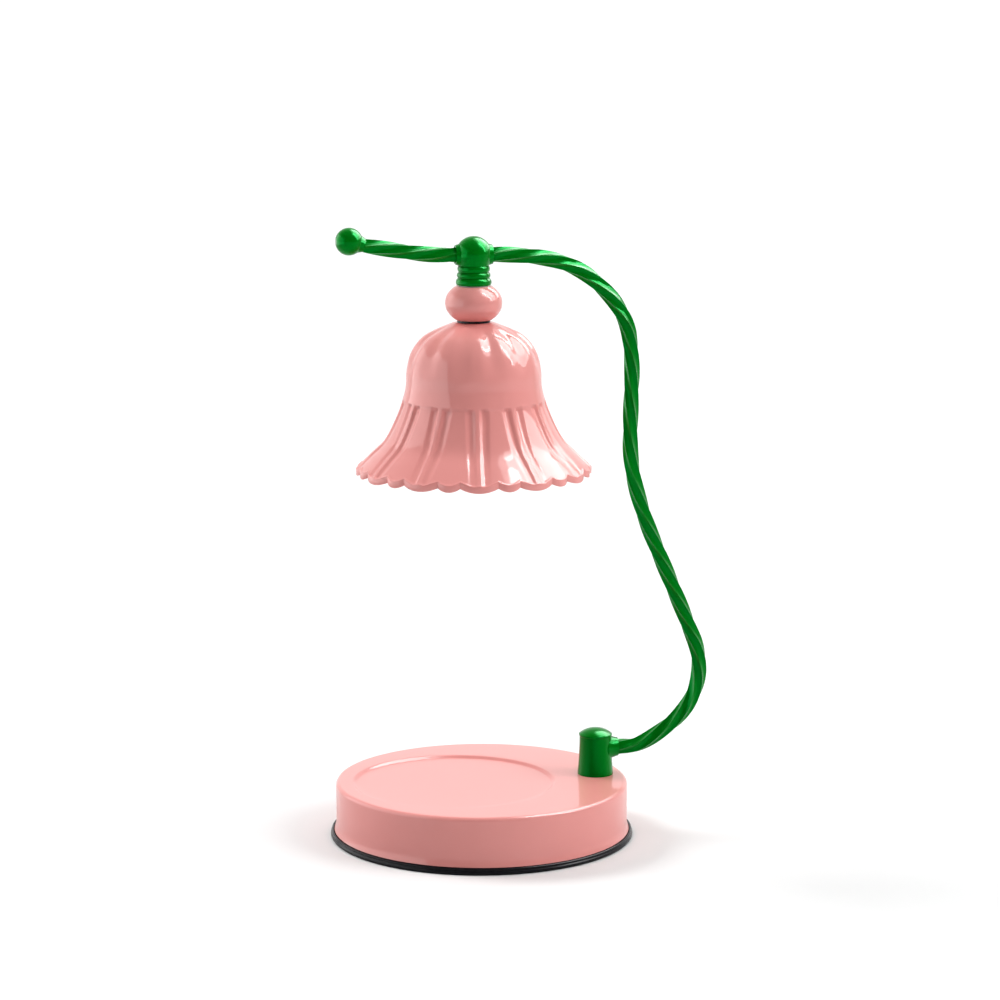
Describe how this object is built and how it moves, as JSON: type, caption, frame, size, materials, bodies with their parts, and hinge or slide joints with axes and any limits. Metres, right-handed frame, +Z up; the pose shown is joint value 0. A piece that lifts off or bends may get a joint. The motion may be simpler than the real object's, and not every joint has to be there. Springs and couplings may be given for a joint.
{
  "type": "candle warmer lamp",
  "caption": "Table lamp that warms a jar candle: round weighted base with a candle seat, twisted S-shaped arm and a bell-flower shade over a reflector bulb.",
  "frame": {"origin": "centre of the underside of the round base, on the surface that it stands on", "axes": "+Z up; +X from the base's centre towards the post; the arm lies in the XZ plane; -Y is the front, +Y the side with the cord inlet"},
  "size_m": [0.1975, 0.1558, 0.3142],
  "materials": {
    "pink_enamel": "glossy baked enamel",
    "green_enamel": "glossy baked enamel",
    "black_rubber": "semi-matt rubber",
    "foam_pad": "matt foam",
    "zinc_steel": "zinc plated",
    "cast_iron": "as cast",
    "white_plastic": "moulded nylon",
    "lead_insulation": "smooth sleeve",
    "ceramic": "steatite ceramic",
    "spring_brass": "plain",
    "mirror_glass": "mirrored glass",
    "clear_glass": "clear"
  },
  "bodies": {
    "stand": {"base_shell": "pink_enamel", "post": "green_enamel", "arm_tube": "green_enamel", "hub": "green_enamel", "hub_collar": "green_enamel", "finial_rod": "green_enamel", "finial_ball": "green_enamel", "base_ring": "black_rubber", "cord_gland": "black_rubber", "foot_pad": "foam_pad", "bottom_cover": "zinc_steel", "cover_lugs": "zinc_steel", "cover_screws": "zinc_steel", "post_nipple": "zinc_steel", "post_washer": "zinc_steel", "post_nut": "zinc_steel", "arm_grub_screw": "zinc_steel", "hub_grub_screws": "zinc_steel", "ballast_rivets": "zinc_steel", "terminal_screws": "zinc_steel", "ballast_plate": "cast_iron", "terminal_block": "white_plastic", "arm_lead": "lead_insulation"},
    "head": {"neck_nipple": "zinc_steel", "friction_washer": "white_plastic", "bead": "pink_enamel", "neck_washer": "black_rubber", "shade": "pink_enamel", "shade_washer": "zinc_steel", "shade_nut": "zinc_steel", "holder_bracket": "zinc_steel", "bracket_nut": "zinc_steel", "lampholder": "ceramic", "holder_contacts": "spring_brass", "holder_screws": "zinc_steel", "head_lead": "lead_insulation"},
    "bulb": {"bulb_reflector": "mirror_glass", "bulb_lens": "clear_glass", "bulb_base": "ceramic", "bulb_pins": "zinc_steel", "bulb_capsule": "clear_glass"}
  },
  "joints": [
    {"name": "head_swivel", "type": "hinge", "parent": "stand", "child": "head", "pos_m": [-0.0038, 0, 0.275], "axis": [0, 0, 1], "range_deg": [-165, 165]},
    {"name": "bulb_twist", "type": "hinge", "parent": "head", "child": "bulb", "pos_m": [-0.0038, 0, 0.243], "axis": [0, 0, -1], "range_deg": [0, 20]}
  ]
}
